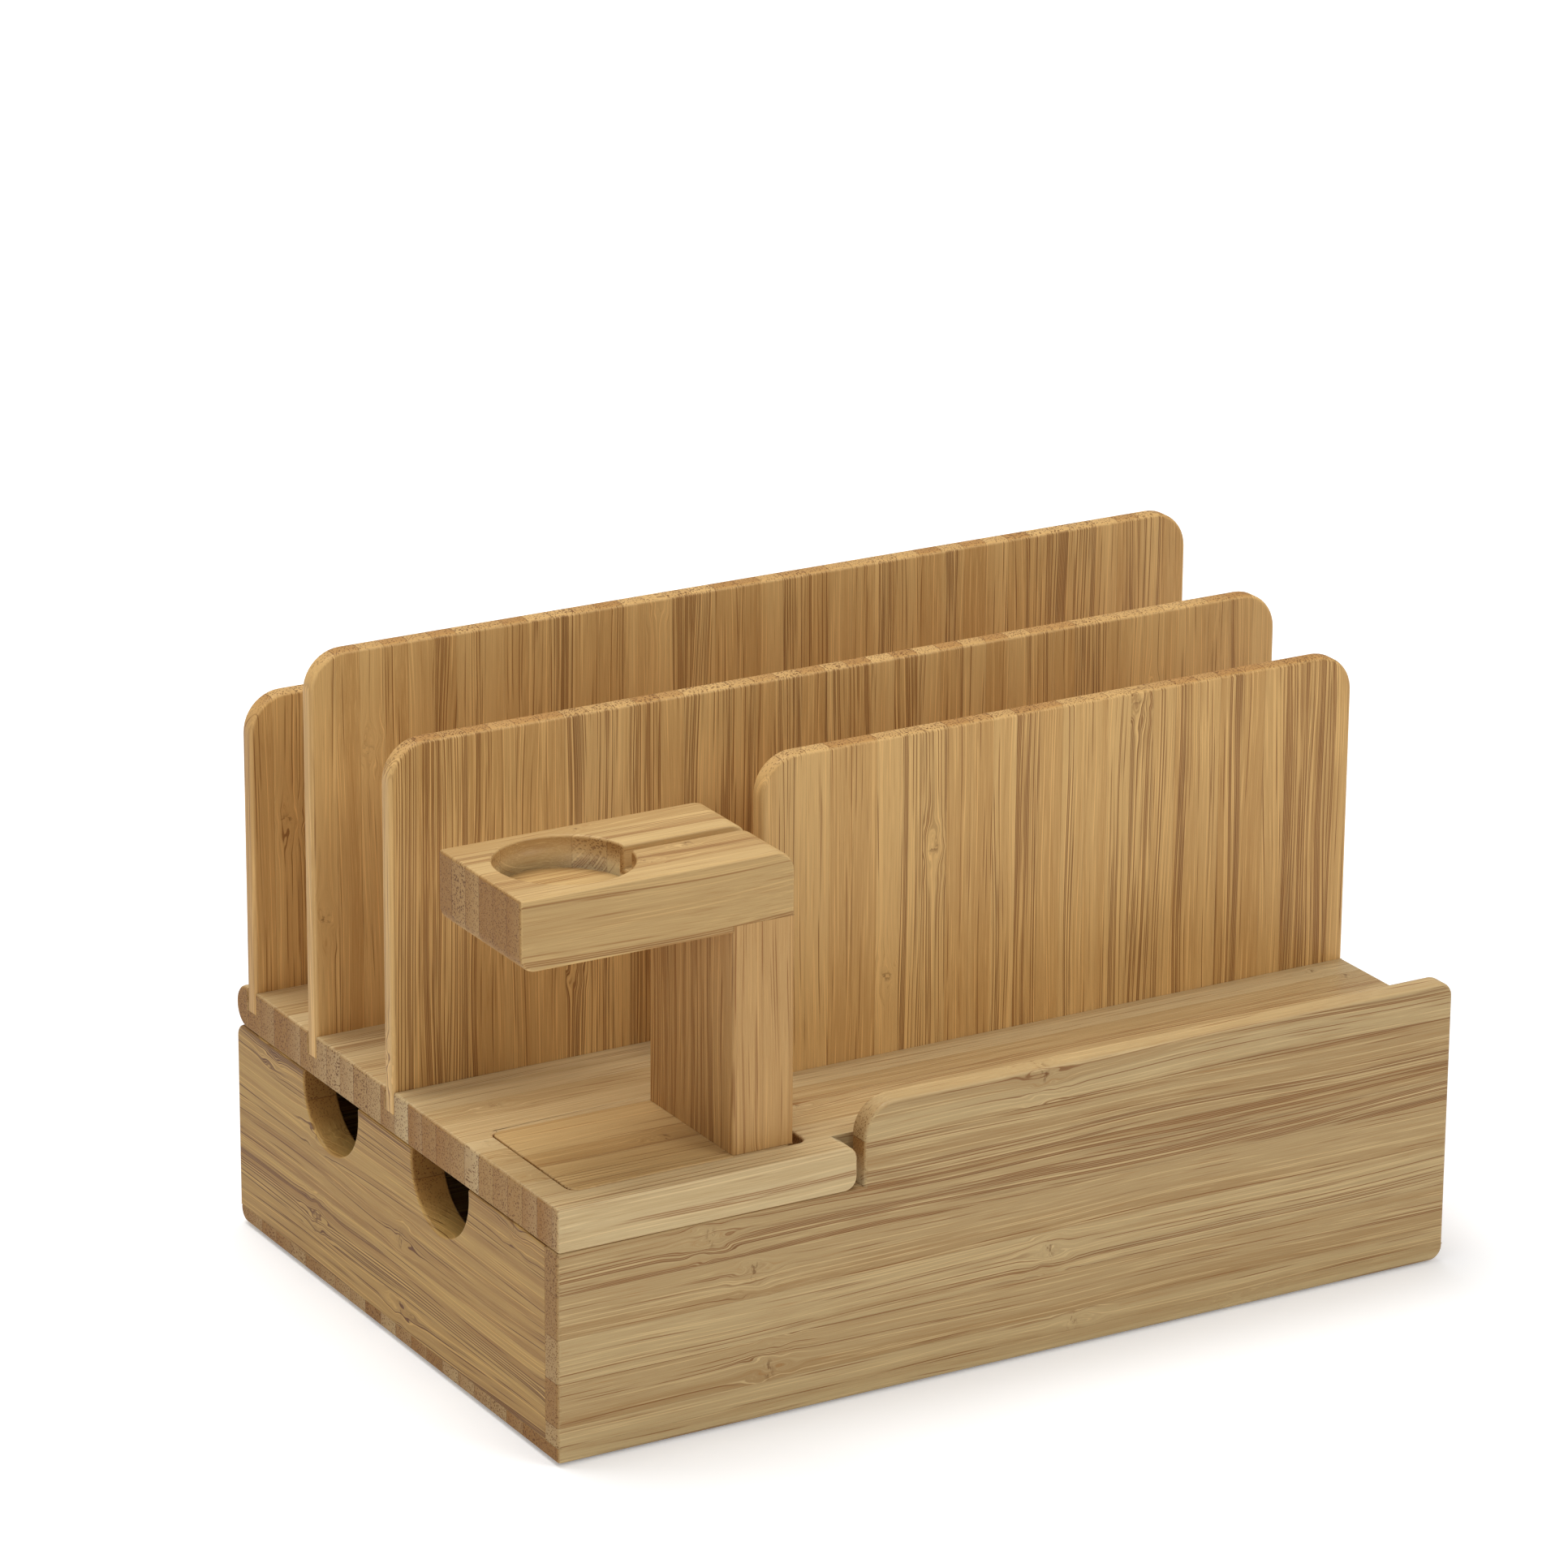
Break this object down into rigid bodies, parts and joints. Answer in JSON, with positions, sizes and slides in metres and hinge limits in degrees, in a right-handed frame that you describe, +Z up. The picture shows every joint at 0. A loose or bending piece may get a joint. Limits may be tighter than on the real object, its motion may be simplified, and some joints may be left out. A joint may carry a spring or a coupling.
{
  "type": "charging station organizer",
  "caption": "Bamboo desk dock for phones, a tablet and a watch: an open charger box with cable notches under a lift-off deck with dividers, a front lip and a watch stand.",
  "frame": {"origin": "on the desk, at the bottom centre of the whole organizer's bounding box", "axes": "+X to the right along the front, +Y to the back, +Z up; the lip and the watch stand are at the front, and the watch stand is on the left"},
  "size_m": [0.2178, 0.1446, 0.1391],
  "materials": {
    "bamboo_light": "satin",
    "bamboo": "satin",
    "bamboo_upright": "satin",
    "bamboo_post": "satin",
    "bamboo_brown": "satin",
    "beech": "matte",
    "zinc_steel": "satin",
    "soft_rubber": "matte"
  },
  "bodies": {
    "box": {"base_board": "bamboo_brown", "front_panel": "bamboo_light", "left_side_panel": "bamboo", "right_side_panel": "bamboo", "back_panel": "bamboo", "panel_dowels": "beech", "base_screws": "zinc_steel", "anti_slip_pads": "soft_rubber"},
    "lid": {"deck": "bamboo_light", "front_divider": "bamboo_upright", "middle_divider": "bamboo_upright", "rear_divider": "bamboo_upright", "tablet_rest": "bamboo_upright", "front_cleat": "bamboo_brown", "rear_cleat": "bamboo_brown", "cleat_screws": "zinc_steel"},
    "watch_stand": {"watch_foot": "bamboo_light", "watch_post": "bamboo_post", "watch_arm": "bamboo_light", "arm_dowels": "beech", "foot_screws": "zinc_steel"}
  },
  "joints": [
    {"name": "lid_lift", "type": "slide", "parent": "box", "child": "lid", "axis": [0, 0, 1], "range_m": [0, 0.08]},
    {"name": "watch_stand_lift", "type": "slide", "parent": "lid", "child": "watch_stand", "axis": [0, 0, 1], "range_m": [0, 0.04]}
  ]
}
